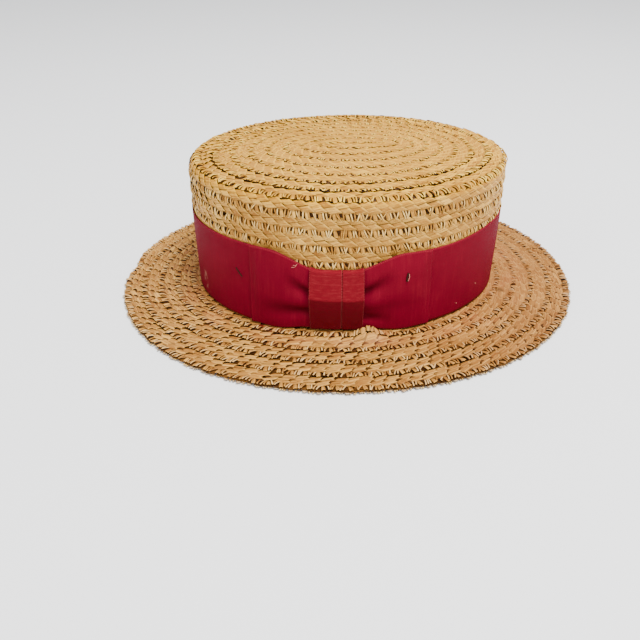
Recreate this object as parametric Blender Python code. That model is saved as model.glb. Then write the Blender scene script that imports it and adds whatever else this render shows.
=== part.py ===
"""A straw boater: flat oval crown and flat brim sewn from one long plait, with a wide ribbon and a flat bow.

Metres, +Z up. The brim lies flat on z = 0 with its middle at the origin. The crown's long way is along X,
the wearer's forehead is at -X, and the bow is on the wearer's left, at -Y.
"""

import math

import bmesh
import bpy
import numpy as np
from mathutils import Matrix

# Crown and brim, measured outside
CROWN_LENGTH = 0.2068
CROWN_WIDTH = 0.1692
CROWN_HEIGHT = 0.0900
TIP_EDGE_RADIUS = 0.0060
BRIM_WIDTH = 0.0517
CROWN_SETBACK = 0.0032

# The plait: each row lies over the next one out, so its outer edge stands proud by one step
STRAW_THICKNESS = 0.0030
ROW_PITCH = 0.0102
BRIM_ROW_PITCH = 0.0112
ROW_STEP = 0.0008
BRIM_EDGE_ROUND = 0.0020
SPIRAL_SHIFT_X = 0.0060
SPIRAL_SHIFT_Y = 0.0110

# Ribbon band, with its lower edge this far above the brim
RIBBON_WIDTH = 0.0533
RIBBON_THICKNESS = 0.0010
BAND_LIFT = 0.0010
CLEARANCE = 0.0003

# Bow: distances run along the crown's wall, away from the bow's middle
BOW_SHIFT = -0.0155
FRONT_LOOP_REACH = 0.0545
BACK_LOOP_REACH = 0.0585
LOOP_DEPTH = 0.0032
LOOP_TUCK = 0.0060
KNOT_WIDTH = 0.0307
KNOT_SEAM_SHARE = 0.60
KNOT_RIDGE = 0.0042
KNOT_DROP = 0.0106
KNOT_RISE = 0.0042
PINCH_REACH = 0.0340

RING_SIDES = 48
BAND_SIDES = 80
BAND_ROWS = 2
LOOP_ROWS = 8

# One row for each bend of a loop's ribbon, seen from above, from its back layer round the fold to its front:
# share of the way out from the knot's edge to the fold, share of the loop's depth
LOOP_PATH = (
    (0.00, 0.00),
    (0.20, 0.00),
    (0.40, 0.00),
    (0.60, 0.00),
    (0.80, 0.00),
    (0.93, 0.00),
    (0.98, 0.05),
    (1.00, 0.28),
    (0.98, 0.50),
    (0.91, 0.66),
    (0.76, 0.88),
    (0.58, 1.00),
    (0.40, 0.96),
    (0.22, 0.80),
    (0.10, 0.64),
    (0.00, 0.54),
)
FRONT_LAYER_DEPTH = 0.5

# One row for each crease that runs out of the knot into a loop's front layer:
# share of the height at the knot, share of the height at its end, share of the way out, depth, half width
CREASES = (
    (0.62, 0.74, 0.45, 0.0009, 0.16),
    (0.30, 0.34, 0.70, 0.0011, 0.14),
)

# One row for each bend of the knot's ribbon, from its lower lip to its upper one:
# share of the height, share of the way from the band out to the bow's layers, share of the ridge beyond them
KNOT_PATH = (
    (0.00, 0.00, 0.00),
    (0.00, 0.85, 0.00),
    (0.015, 1.00, 0.04),
    (0.15, 1.00, 0.42),
    (0.35, 1.00, 0.86),
    (0.47, 1.00, 1.00),
    (0.53, 1.00, 0.98),
    (0.70, 1.00, 0.66),
    (0.88, 1.00, 0.28),
    (0.985, 1.00, 0.03),
    (1.00, 0.85, 0.00),
    (1.00, 0.00, 0.00),
)
KNOT_COLUMNS = 3

CROWN_HALF_LENGTH = CROWN_LENGTH / 2
CROWN_HALF_WIDTH = CROWN_WIDTH / 2
CROWN_BASE = STRAW_THICKNESS + CLEARANCE
BAND_BOTTOM = STRAW_THICKNESS + BAND_LIFT
BAND_MIDDLE = CLEARANCE + RIBBON_THICKNESS / 2
LOOP_BACK = BAND_MIDDLE + RIBBON_THICKNESS + CLEARANCE
KNOT_LIP = RIBBON_THICKNESS + CLEARANCE


def clear_scene():
    for obj in list(bpy.data.objects):
        bpy.data.objects.remove(obj, do_unlink=True)


def make_material(name, colour, roughness):
    material = bpy.data.materials.new(name)
    material.use_nodes = True
    shader = material.node_tree.nodes["Principled BSDF"]
    shader.inputs["Base Color"].default_value = (*colour, 1.0)
    shader.inputs["Roughness"].default_value = roughness
    shader.inputs["Metallic"].default_value = 0.0
    return material


def add_object(name, bm, material):
    """Ends a bmesh as a named object that carries its material."""
    mesh = bpy.data.meshes.new(name)
    bm.to_mesh(mesh)
    bm.free()
    mesh.materials.append(material)
    mesh.shade_smooth()
    mesh.set_sharp_from_angle(angle=math.radians(30))
    obj = bpy.data.objects.new(name, mesh)
    bpy.context.scene.collection.objects.link(obj)
    return obj


def ease(share):
    """0 to 1 with a soft start and end."""
    share = min(max(share, 0.0), 1.0)
    return share * share * (3.0 - 2.0 * share)


# Straw


def oval_matrix(offset, height):
    """Places a unit circle as the oval this far outside (+) or inside (-) the crown's wall."""
    edge = TIP_EDGE_RADIUS + STRAW_THICKNESS
    inward = ease((-offset - edge) / (CROWN_HALF_WIDTH - edge))
    outward = min(max(offset / BRIM_WIDTH, 0.0), 1.0)
    x = SPIRAL_SHIFT_X * inward
    y = CROWN_SETBACK * (1.0 - outward) + SPIRAL_SHIFT_Y * inward
    size = Matrix.Diagonal((CROWN_HALF_LENGTH + offset, CROWN_HALF_WIDTH + offset, 1.0, 1.0))
    return Matrix.Translation((x, y, height)) @ size


def loft_ovals(stations, closed):
    """Grows a wall from ring to ring, one at every (offset, height); its ends meet each other, or are capped."""
    bm = bmesh.new()
    here = oval_matrix(*stations[0])
    bmesh.ops.create_circle(bm, cap_ends=not closed, segments=RING_SIDES, radius=1.0, matrix=here)
    rim = list(bm.edges)
    for station in stations[1:] + (stations[:1] if closed else []):
        there = oval_matrix(*station)
        grown = bmesh.ops.extrude_edge_only(bm, edges=rim)["geom"]
        verts = [item for item in grown if isinstance(item, bmesh.types.BMVert)]
        rim = [item for item in grown if isinstance(item, bmesh.types.BMEdge) and item.is_boundary]
        bmesh.ops.transform(bm, matrix=there @ here.inverted(), verts=verts)
        here = there
    if closed:
        bmesh.ops.remove_doubles(bm, verts=bm.verts, dist=CLEARANCE / 10)
    else:
        bmesh.ops.edgeloop_fill(bm, edges=rim)
    bmesh.ops.recalc_face_normals(bm, faces=bm.faces)
    if bm.calc_volume(signed=True) < 0:
        bmesh.ops.reverse_faces(bm, faces=bm.faces)
    return bm


def crown_surface(distance, proud):
    """(offset, height) on the crown's outside, this far from the middle of the tip and this proud of it."""
    flat = CROWN_HALF_WIDTH - TIP_EDGE_RADIUS
    bend = TIP_EDGE_RADIUS * math.pi / 2
    turn = min(max((distance - flat) / TIP_EDGE_RADIUS, 0.0), math.pi / 2)
    reach = TIP_EDGE_RADIUS + proud
    across = min(distance, flat) + reach * math.sin(turn)
    down = max(distance - flat - bend, 0.0)
    height = CROWN_HEIGHT - TIP_EDGE_RADIUS + reach * math.cos(turn) - down
    return across - CROWN_HALF_WIDTH, height


def crown_outside():
    """Rows of plait from the middle of the tip, over its edge and down to the brim."""
    flat = CROWN_HALF_WIDTH - TIP_EDGE_RADIUS
    bend_end = flat + TIP_EDGE_RADIUS * math.pi / 2
    end = bend_end + CROWN_HEIGHT - TIP_EDGE_RADIUS - CROWN_BASE
    stations = []
    row_start = 0.0
    while row_start < end - ROW_PITCH / 10:
        row_end = min(row_start + ROW_PITCH, end)
        stops = {max(row_start, ROW_PITCH / 3), row_end}
        for step in range(4):
            bend_stop = flat + (bend_end - flat) * step / 3
            if row_start < bend_stop < row_end:
                stops.add(bend_stop)
        for stop in sorted(stops):
            proud = ROW_STEP * ((stop - row_start) / ROW_PITCH - 1.0)
            stations.append(crown_surface(stop, proud))
        row_start = row_end
    return stations


def crown_inside():
    """Plain inner face, from the hat's open bottom up the wall to the middle of the tip."""
    bend = max(TIP_EDGE_RADIUS - STRAW_THICKNESS, STRAW_THICKNESS / 2)
    ceiling = CROWN_HEIGHT - STRAW_THICKNESS
    stations = [(-STRAW_THICKNESS, CROWN_BASE)]
    for step in range(4):
        turn = math.pi / 2 * step / 3
        offset = -STRAW_THICKNESS - bend * (1.0 - math.cos(turn))
        stations.append((offset, ceiling - bend * (1.0 - math.sin(turn))))
    stations.append((-CROWN_HALF_WIDTH / 2, ceiling))
    return stations


def make_crown(material):
    return add_object("crown", loft_ovals(crown_outside() + crown_inside(), closed=False), material)


def brim_crests():
    """Offsets of the rows' proud outer edges, counted in from the brim's own edge."""
    crests = []
    crest = BRIM_WIDTH - BRIM_EDGE_ROUND
    while crest > ROW_STEP * 2:
        crests.insert(0, crest)
        crest -= BRIM_ROW_PITCH
    return crests


def make_brim(material):
    """A flat ring under the crown's wall, shingled above and lying flat between shallow grooves below."""
    top = STRAW_THICKNESS
    crests = brim_crests()
    stations = [(-STRAW_THICKNESS, 0.0), (-STRAW_THICKNESS, top), (0.0, top)]
    row_start = 0.0
    for crest in crests:
        rise = ROW_STEP * (1.0 - (crest - row_start) / BRIM_ROW_PITCH)
        stations.append((row_start + CLEARANCE, top - ROW_STEP + max(rise, 0.0)))
        stations.append((crest, top))
        row_start = crest
    middle = top / 2
    edge = BRIM_WIDTH - BRIM_EDGE_ROUND
    for step in range(1, 6):
        turn = math.pi * step / 6
        stations.append((edge + BRIM_EDGE_ROUND * math.sin(turn), middle + middle * math.cos(turn)))
    stations.append((edge, 0.0))
    for crest in reversed(crests[:-1]):
        stations.append((crest + ROW_STEP, 0.0))
        stations.append((crest, ROW_STEP))
        stations.append((crest - ROW_STEP, 0.0))
    return add_object("brim", loft_ovals(stations, closed=True), material)


# Ribbon


def wall_arc():
    """Angles round the crown from the back of the bow's side, and the distance along the wall to each."""
    angles = np.radians(np.linspace(-270.0, 90.0, 2881))
    speed = np.hypot(CROWN_HALF_LENGTH * np.sin(angles), CROWN_HALF_WIDTH * np.cos(angles))
    steps = (speed[1:] + speed[:-1]) / 2 * np.diff(angles)
    distances = np.concatenate(([0.0], np.cumsum(steps)))
    return angles, distances - distances[-1] / 2


WALL_ANGLES, WALL_DISTANCES = wall_arc()
GIRTH = WALL_DISTANCES[-1] * 2


def on_wall(distance, stand_off, height):
    """The point this far round the crown from the bow's middle and this far out from its wall."""
    turned = (distance + BOW_SHIFT + GIRTH / 2) % GIRTH - GIRTH / 2
    angle = np.interp(turned, WALL_DISTANCES, WALL_ANGLES)
    normal = np.array([CROWN_HALF_WIDTH * math.cos(angle), CROWN_HALF_LENGTH * math.sin(angle)])
    normal /= np.linalg.norm(normal)
    x = CROWN_HALF_LENGTH * math.cos(angle) + normal[0] * stand_off
    y = CROWN_HALF_WIDTH * math.sin(angle) + normal[1] * stand_off + CROWN_SETBACK
    return x, y, height


def ribbon_edges(distance):
    """Heights of the ribbon's lower and upper edge: the knot squeezes it together."""
    start = KNOT_WIDTH / 4
    pinch = 1.0 - ease((abs(distance) - start) / PINCH_REACH)
    return BAND_BOTTOM + KNOT_RISE * pinch, BAND_BOTTOM + RIBBON_WIDTH - KNOT_DROP * pinch


def between(edges, share):
    return edges[0] + (edges[1] - edges[0]) * share


def ribbon_grid(columns, rows, place):
    """A flat grid of ribbon whose points are put in place by their shares along and up it."""
    bm = bmesh.new()
    bmesh.ops.create_grid(bm, x_segments=round(columns), y_segments=round(rows), size=0.5)
    for vert in bm.verts:
        vert.co = place(vert.co.x + 0.5, vert.co.y + 0.5)
    return bm


def thicken(obj):
    solid = obj.modifiers.new("Ribbon thickness", "SOLIDIFY")
    solid.thickness = RIBBON_THICKNESS
    solid.offset = 0.0
    solid.use_even_offset = True


def make_band(material):
    def place(along, up):
        distance = (along - 0.5) * GIRTH
        return on_wall(distance, BAND_MIDDLE, between(ribbon_edges(distance), up))

    bm = ribbon_grid(BAND_SIDES, BAND_ROWS, place)
    bmesh.ops.remove_doubles(bm, verts=bm.verts, dist=CLEARANCE / 10)
    band = add_object("ribbon_band", bm, material)
    thicken(band)
    return band


def crease_depth(out, up):
    """How far the creases that leave the knot press the front layer in."""
    depth = 0.0
    for up_at_knot, up_at_end, reach, most, half_width in CREASES:
        line = up_at_knot + (up_at_end - up_at_knot) * out / reach
        closeness = max(0.0, 1.0 - abs(up - line) / half_width)
        depth += most * closeness * max(0.0, 1.0 - out / reach)
    return depth


def make_loop(name, side, reach, material):
    """One loop of the bow: ribbon out along the band, folded over, and back to the knot."""
    knot_edge = KNOT_WIDTH / 2
    tuck = -LOOP_TUCK / (reach - knot_edge)
    path = [(tuck, LOOP_PATH[0][1]), *LOOP_PATH, (tuck, LOOP_PATH[-1][1])]
    columns = len(path) - 1

    def place(along, up):
        out, depth_share = path[round(along * columns)]
        distance = knot_edge + (reach - knot_edge) * out
        stand_off = LOOP_BACK + LOOP_DEPTH * depth_share
        if depth_share >= FRONT_LAYER_DEPTH:
            stand_off -= crease_depth(max(out, 0.0), up)
        return on_wall(side * distance, stand_off, between(ribbon_edges(distance), up))

    loop = add_object(name, ribbon_grid(columns, LOOP_ROWS, place), material)
    thicken(loop)
    return loop


def make_knot_turn(name, start, end, material):
    """One turn of the ribbon round the bow's middle: over its top and bottom edges, with a ridge halfway."""
    bends = len(KNOT_PATH) - 1
    layers = LOOP_BACK + LOOP_DEPTH * LOOP_PATH[-1][1] + RIBBON_THICKNESS + CLEARANCE

    def place(along, up):
        share, out, ridge = KNOT_PATH[round(up * bends)]
        distance = start + (end - start) * along
        bottom, top = ribbon_edges(distance)
        height = between((bottom - KNOT_LIP, top + KNOT_LIP), share)
        stand_off = BAND_MIDDLE + (layers - BAND_MIDDLE) * out + KNOT_RIDGE * ridge
        return on_wall(distance, stand_off, height)

    turn = add_object(name, ribbon_grid(KNOT_COLUMNS, bends, place), material)
    thicken(turn)
    return turn


def make_bow(material):
    make_loop("bow_loop_front", -1, FRONT_LOOP_REACH, material)
    make_loop("bow_loop_back", 1, BACK_LOOP_REACH, material)
    left = -KNOT_WIDTH / 2
    seam = left + KNOT_WIDTH * KNOT_SEAM_SHARE
    make_knot_turn("bow_knot_wide", left, seam - CLEARANCE / 2, material)
    make_knot_turn("bow_knot_narrow", seam + CLEARANCE / 2, -left, material)


def main():
    clear_scene()
    straw = make_material("straw plait", (0.50, 0.32, 0.15), 0.55)
    ribbon = make_material("red grosgrain ribbon", (0.27, 0.008, 0.018), 0.6)
    make_crown(straw)
    make_brim(straw)
    make_band(ribbon)
    make_bow(ribbon)


main()
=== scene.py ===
# %% [markdown]
# # A straw boater with a red ribbon
#
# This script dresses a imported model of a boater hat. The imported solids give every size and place, and the
# script gives the looks: a crown and a brim of plaited straw, and a wide ribbed ribbon with a flat bow.
# Everything is in metres, with +Z up. The wearer's forehead is at -X and the bow is at -Y.

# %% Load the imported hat
import math

import bmesh
import bpy
import numpy as np
from mathutils import Matrix, Vector, noise
from mathutils.bvhtree import BVHTree


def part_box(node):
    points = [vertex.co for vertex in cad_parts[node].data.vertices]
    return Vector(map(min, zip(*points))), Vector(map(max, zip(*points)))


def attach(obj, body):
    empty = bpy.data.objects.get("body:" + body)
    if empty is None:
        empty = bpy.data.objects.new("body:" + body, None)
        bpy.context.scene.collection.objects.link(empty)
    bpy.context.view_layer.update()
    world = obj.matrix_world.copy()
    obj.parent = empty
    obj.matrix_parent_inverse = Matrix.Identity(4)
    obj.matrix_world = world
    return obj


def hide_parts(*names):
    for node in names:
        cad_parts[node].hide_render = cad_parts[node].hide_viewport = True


MM = 0.001
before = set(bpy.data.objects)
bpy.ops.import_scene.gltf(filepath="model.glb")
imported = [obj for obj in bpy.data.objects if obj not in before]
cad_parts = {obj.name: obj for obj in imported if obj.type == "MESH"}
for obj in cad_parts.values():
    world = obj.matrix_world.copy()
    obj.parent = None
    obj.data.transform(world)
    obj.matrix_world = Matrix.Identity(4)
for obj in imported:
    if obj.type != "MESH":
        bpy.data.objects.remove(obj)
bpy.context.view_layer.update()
print("Packed nodes:", sorted(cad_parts))

# %% [markdown]
# ## The camera
#
# A camera is an object whose -Z axis looks into the scene. It could be aimed with a Track To constraint, but
# three turns and a place say it exactly: a small roll, a tilt down, and a turn to the left. A 36 mm sensor
# with a 36 mm lens makes one image side as wide as the distance to the subject.

# %% Put the camera in front of the bow
CAMERA_PLACE = Vector((-51.2, -404.8, 228.4)) * MM
CAMERA_TURN = math.radians(-4.53)
CAMERA_DOWN = math.radians(33.55)
CAMERA_ROLL = math.radians(-0.35)


def add_object(name, data):
    obj = bpy.data.objects.new(name, data)
    bpy.context.scene.collection.objects.link(obj)
    return obj


camera_data = bpy.data.cameras.new("camera")
camera_data.sensor_width = 36.0
camera_data.lens = 36.0
camera = add_object("camera", camera_data)
camera.matrix_world = (
    Matrix.Translation(CAMERA_PLACE)
    @ Matrix.Rotation(CAMERA_TURN, 4, "Z")
    @ Matrix.Rotation(math.pi / 2 - CAMERA_DOWN, 4, "X")
    @ Matrix.Rotation(CAMERA_ROLL, 4, "Z")
)
bpy.context.scene.camera = camera
print("Camera is", round(CAMERA_PLACE.length, 3), "m from the middle of the brim")

# %% [markdown]
# ## The shape that everything lies on
#
# A boater is sewn from one long plait that runs round and round, from the middle of the tip out to its edge,
# down the side and out over the brim. So a place on the hat is best given as the plait sees it: how far the
# place is from the middle, measured over the surface, at what angle round the hat, and how proud it stands.
# The functions below turn that into x, y and z. They use NumPy arrays, because they place many thousand
# points at once.

# %% Read the hat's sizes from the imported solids
crown_low, crown_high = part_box("crown")
brim_low, brim_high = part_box("brim")
band_low, band_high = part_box("ribbon_band")

HALF_LENGTH = (crown_high.x - crown_low.x) / 2
HALF_WIDTH = (crown_high.y - crown_low.y) / 2
CROWN_HEIGHT = crown_high.z
SETBACK = (crown_high.y + crown_low.y) / 2
BRIM_WIDTH = brim_high.x - crown_high.x
STRAW = brim_high.z
BAND_BOTTOM = band_low.z
BAND_TOP = band_high.z
TIP_EDGE_RADIUS = 6.0 * MM
SPIRAL_SHIFT_X = 6.0 * MM
SPIRAL_SHIFT_Y = 11.0 * MM
FRONT = math.radians(-90)
print("Crown", round(HALF_LENGTH * 2 / MM, 1), "x", round(HALF_WIDTH * 2 / MM, 1), "mm")
print("Brim", round(BRIM_WIDTH / MM, 1), "mm wide and", round(STRAW / MM, 1), "mm thick")


# %% Turn places on the hat into points
def ease(share):
    """0 to 1 with a soft start and end."""
    share = np.clip(share, 0.0, 1.0)
    return share * share * (3.0 - 2.0 * share)


def bump(value, middle, reach):
    """1 at the middle, falling softly to 0 at one reach on either side."""
    return 1.0 - ease(np.abs(value - middle) / reach)


def soft_waves(points, size, seed):
    """A slow random wave at every point, from about -1 to 1."""
    return np.array([noise.noise(Vector(point) * size + Vector((seed, 0.0, 0.0))) for point in points])


def oval_shift(offset):
    """Where the middle of the oval lies that runs this far outside (+) or inside (-) the crown's wall."""
    edge = TIP_EDGE_RADIUS + STRAW
    inward = ease((-offset - edge) / (HALF_WIDTH - edge))
    outward = np.clip(offset / BRIM_WIDTH, 0.0, 1.0)
    return SPIRAL_SHIFT_X * inward, SETBACK * (1.0 - outward) + SPIRAL_SHIFT_Y * inward


def oval_point(offset, height, angle):
    shift_x, shift_y = oval_shift(offset)
    x = shift_x + (HALF_LENGTH + offset) * np.cos(angle)
    y = shift_y + (HALF_WIDTH + offset) * np.sin(angle)
    return np.stack(np.broadcast_arrays(x, y, height), axis=-1)


TIP_FLAT = HALF_WIDTH - TIP_EDGE_RADIUS
TIP_BEND = TIP_EDGE_RADIUS * math.pi / 2


def crown_profile(distance, proud):
    """(offset, height) this far from the middle of the tip over the surface, and this proud of it."""
    turn = np.clip((distance - TIP_FLAT) / TIP_EDGE_RADIUS, 0.0, math.pi / 2)
    reach = TIP_EDGE_RADIUS + proud
    offset = np.minimum(distance, TIP_FLAT) + reach * np.sin(turn) - HALF_WIDTH
    down = np.maximum(distance - TIP_FLAT - TIP_BEND, 0.0)
    return offset, CROWN_HEIGHT - TIP_EDGE_RADIUS + reach * np.cos(turn) - down


def crown_outer(distance, angle, proud):
    offset, height = crown_profile(np.maximum(distance, 0.05 * MM), proud)
    return oval_point(offset, height, angle)


def crown_inner(distance, angle, proud):
    offset, height = crown_profile(np.maximum(distance, 0.05 * MM), -STRAW - proud)
    return oval_point(offset, height, angle)


# %% [markdown]
# ## The one long plait
#
# The rows are one spiral, so their outer edge is a function of the number of turns made so far. On the crown
# the spiral grows almost evenly. On the brim each row keeps its distance for most of a turn and then moves
# out by one row, at the back left. That lets the last row slide under the one before it, and leaves the brim
# with a clean oval outline, as a hat maker does it. A small dent stays where the last end is tucked in. Under
# the bow the inner row is drawn up towards the ribbon, and it buckles in one small hump.

# %% Lay out the spiral of rows
ROW_PITCH = 10.2 * MM
WALL_SLIP = 2.5 * MM
BRIM_PITCH = 11.2 * MM
ROW_STEP = 0.6 * MM
BRIM_ROWS = 5
LAST_END = math.radians(172)
MOVE_OUT_FROM = 0.70
EDGE_WAVE = 0.35 * MM
EDGE_WAVES = 66
CORNER_BULGE = 1.4 * MM
DENT_DEPTH = 2.6 * MM
DENT_REACH = math.radians(7)
HUMP_ANGLE = math.radians(-88.2)
HUMP_REACH = math.radians(6.5)
HUMP_HEIGHT = 5.6 * MM
HUMP_OFFSET = 5.4 * MM
HUMP_SPREAD = 4.8 * MM
DRAWN_UP_ANGLE = math.radians(-99)
DRAWN_UP_REACH = math.radians(34)
DRAWN_UP = 3.4 * MM
STRAW_SUNK = 0.25 * MM
BACK_HEIGHT = 0.9 * MM
BACK_REACH = 1.1 * MM
BACK_RISE = 0.5 * MM


def crown_row_edge(turn):
    """The rows are a little wider at the tip's edge, so those on the wall lie lower."""
    return ROW_PITCH * turn + WALL_SLIP * ease((turn - 6.0) / 3.0)


def brim_row_edge(turn):
    row = np.floor(turn)
    outermost = BRIM_WIDTH + 0.7 * MM
    moved = ease((turn - row - MOVE_OUT_FROM) / (1.0 - MOVE_OUT_FROM))
    return np.minimum(outermost - BRIM_PITCH * (BRIM_ROWS - 1 - row - moved), outermost)


def around(angle, middle):
    """The angle as seen from the middle one, from -180 to 180 degrees."""
    return (angle - middle + math.pi) % (2 * math.pi) - math.pi


def brim_shape(offset, angle):
    """The brim's small faults: fuller corners, a wavy edge, a dent, and the rise and hump under the bow."""
    fuller = np.sin(2.0 * angle) ** 2 * (1.0 - bump(around(angle, math.radians(135)), 0.0, math.radians(45)))
    corners = CORNER_BULGE * fuller * np.clip(offset / BRIM_WIDTH, 0.0, 1.0)
    outer = ease((offset - BRIM_WIDTH + BRIM_PITCH * 1.5) / BRIM_PITCH)
    wave = EDGE_WAVE * np.sin(angle * EDGE_WAVES + 2.0 * np.sin(angle * 5)) * outer
    dent = DENT_DEPTH * bump(around(angle, LAST_END), 0.0, DENT_REACH) * outer
    hump = HUMP_HEIGHT * bump(around(angle, HUMP_ANGLE), 0.0, HUMP_REACH)
    hump = hump * bump(offset, HUMP_OFFSET, HUMP_SPREAD)
    drawn_up = DRAWN_UP * bump(around(angle, DRAWN_UP_ANGLE), 0.0, DRAWN_UP_REACH)
    lift = hump + drawn_up * (1.0 - ease((offset - 4.0 * MM) / (11.0 * MM)))
    return offset + corners + wave - dent, lift


def brim_upper(offset, angle, proud):
    offset, lift = brim_shape(offset, angle)
    return oval_point(offset, STRAW - STRAW_SUNK + lift + proud, angle)


def brim_under(offset, angle, proud):
    """The back of the brim, which shows past the upper straws as a thin second edge."""
    offset, _ = brim_shape(offset, angle)
    rise = BACK_RISE * ease((offset - BRIM_WIDTH + 4.0 * MM) / (3.0 * MM))
    return oval_point(offset + BACK_REACH, np.maximum(BACK_HEIGHT + rise - 0.5 * proud, 0.0), angle)


def measure_rows(place, edge, pitch, first, last, start_angle):
    """Turns made so far and the length of plait used, from the spiral's first turn to its last."""
    turns = np.linspace(first, last, int((last - first) * 720) + 1)
    middle = place(edge(turns) - pitch / 2, start_angle + turns * 2 * math.pi, 0.0)
    steps = np.linalg.norm(np.diff(middle, axis=0), axis=1)
    lengths = np.concatenate(([0.0], np.cumsum(steps)))
    return {
        "place": place, "edge": edge, "pitch": pitch, "start": start_angle, "turns": turns, "lengths": lengths
    }


WALL_END = TIP_FLAT + TIP_BEND + CROWN_HEIGHT - TIP_EDGE_RADIUS - STRAW
BAND_START = TIP_FLAT + TIP_BEND + CROWN_HEIGHT - TIP_EDGE_RADIUS - BAND_TOP
UNDER_BAND = BAND_START + ROW_PITCH * 2.3
crown_turns = (UNDER_BAND - WALL_SLIP) / ROW_PITCH
inside_turns = (WALL_END - WALL_SLIP) / ROW_PITCH
crown_rows = measure_rows(crown_outer, crown_row_edge, ROW_PITCH, 0.12, crown_turns, FRONT)
inside_rows = measure_rows(crown_inner, crown_row_edge, ROW_PITCH, 0.12, inside_turns, FRONT)
brim_rows = measure_rows(brim_upper, brim_row_edge, BRIM_PITCH, -0.3, BRIM_ROWS - 0.02, LAST_END)
under_rows = measure_rows(brim_under, brim_row_edge, BRIM_PITCH, -0.3, BRIM_ROWS - 0.02, LAST_END)
for title, rows in (("crown", crown_rows), ("inside", inside_rows), ("brim", brim_rows)):
    print("Plait on the", title, round(rows["lengths"][-1], 2), "m")

# %% [markdown]
# ## One step of the plait
#
# Seen close, the plait has two to four flat tiers, where slanted straws lie side by side, and a notched tier
# along its outer edge. There one straw turns back in a round, smooth scale, and the next is split into a
# bunch of crumpled strands with dark slits between them. Each visible straw is a small piece of bent grid
# here: its middle is raised, its ends dip under its neighbours, and one end is a little higher, so it casts a
# thin shadow. A straw needs only a dozen or two faces, because it is repeated thousands of times. Points of a
# step are given as along the plait, outwards across it, and up.


# %% Shape one straw
def straw(length, width, middle, lean=0.0, cut=0.0, faces=(5, 4), camber=0.3, arch=0.3, tilt=0.3, roll=0.0,
          point=0.0, flare=0.0, sink=0.0):
    """One bent straw, as (points, shares along and across it, size, faces). Sizes are in millimetres."""
    bm = bmesh.new()
    bmesh.ops.create_grid(bm, x_segments=faces[0], y_segments=faces[1], size=0.5)
    shares = np.array([vert.co[:2] for vert in bm.verts]) + 0.5
    for vert in bm.verts:
        along, across, _ = vert.co
        taper = (1.0 + flare * along) * (1.0 - point * (2 * max(along, 0.0)) ** 4)
        lift = camber * (1 - 4 * across**2) + arch * (1 - 4 * along**2) + tilt * along + roll * across
        vert.co = (along * length, across * width * taper, lift)
    slant = math.tan(math.radians(cut))
    skew = Matrix(((1, slant, 0, 0), (0, 1, 0, 0), (0, 0, 1, 0), (0, 0, 0, 1)))
    turn = Matrix.Rotation(math.radians(lean), 4, "Z")
    bmesh.ops.transform(bm, matrix=Matrix.Translation((*middle, -sink)) @ turn @ skew, verts=bm.verts)
    bm.verts.index_update()
    points = np.array([vert.co[:] for vert in bm.verts]) * MM
    quads = np.array([[vert.index for vert in face.verts] for face in bm.faces])
    bm.free()
    return points, shares, np.array((length, width)) * MM, quads


def plait_step(spacing, straws):
    """Puts the straws of one step into one set of arrays, each point with the number of its straw."""
    counts = [len(points) for points, _, _, _ in straws]
    firsts = np.cumsum([0, *counts[:-1]])
    return {
        "spacing": spacing * MM,
        "points": np.concatenate([points for points, _, _, _ in straws]),
        "shares": np.concatenate([shares for _, shares, _, _ in straws]),
        "flat": np.concatenate([shares * size for _, shares, size, _ in straws]),
        "quads": np.concatenate([quads + first for (_, _, _, quads), first in zip(straws, firsts)]),
        "owner": np.repeat(np.arange(len(straws)), counts),
        "middles": np.array([points.mean(axis=0) for points, _, _, _ in straws]),
        "split": np.array([float(size[1] < 1.3 * MM) for _, _, size, _ in straws]),
        "shade_bed": np.array([float(size[1] > 7.0 * MM) for _, _, size, _ in straws]),
        "notch": np.array([float(size.max() < 6.0 * MM) for _, _, size, _ in straws]),
    }


# %% Shape the steps of the crown's and the brim's plait
def strand(along, lean):
    """A split straw that turns back at the plait's outer edge."""
    return straw(
        5.2, 1.15, (along, -2.45), 90 + lean, camber=0.5, arch=0.75, tilt=0.8, sink=0.12, faces=(4, 2)
    )


SIDE_CELL = {"lean": -13, "cut": 42, "camber": 0.42, "arch": 0.1, "tilt": 0.9, "roll": 0.15, "faces": (6, 3)}
SCALE = {
    "lean": 76, "camber": 0.45, "arch": 0.4, "tilt": 0.7,
    "point": 0.3, "flare": 0.5, "sink": 0.12, "faces": (5, 3),
}
# Painted shade: a flat strip under the notched tier, coloured near black, shows in the slits between strands.
SHADE_BED = {"lean": 90, "camber": 0.0, "arch": 0.0, "tilt": 0.0, "sink": 0.42, "faces": (3, 2)}
side_step = plait_step(7.5, [
    straw(9.3, 4.7, (0.0, -5.5), **SIDE_CELL),
    straw(9.3, 4.7, (3.6, -8.8), **SIDE_CELL),
    straw(5.0, 2.3, (2.1, -2.3), **SCALE),
    strand(-3.3, -18),
    strand(-1.65, -4),
    strand(-0.05, 12),
    straw(3.2, 7.6, (0.0, -2.10), **SHADE_BED),
])
BRIM_CELL = {"arch": 0.05, "camber": 0.45, "tilt": 0.55, "roll": 0.45, "point": 0.4, "faces": (6, 3)}
brim_step = plait_step(7.6, [
    straw(9.8, 2.9, (0.0, -4.7), lean=-12, cut=52, **BRIM_CELL),
    straw(9.8, 2.9, (0.9, -6.6), lean=-7, cut=-46, **BRIM_CELL),
    straw(9.8, 2.9, (2.6, -8.4), lean=-12, cut=52, **BRIM_CELL),
    straw(9.8, 3.0, (3.5, -10.2), lean=-7, cut=-46, **BRIM_CELL),
    straw(4.6, 2.4, (2.2, -2.1), **SCALE),
    strand(-3.3, 0),
    strand(-1.65, 12),
    strand(-0.05, 22),
    straw(2.8, 7.7, (0.0, -2.30), **SHADE_BED),
])
print("Faces in one step: side", len(side_step["quads"]), "brim", len(brim_step["quads"]))

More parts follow.
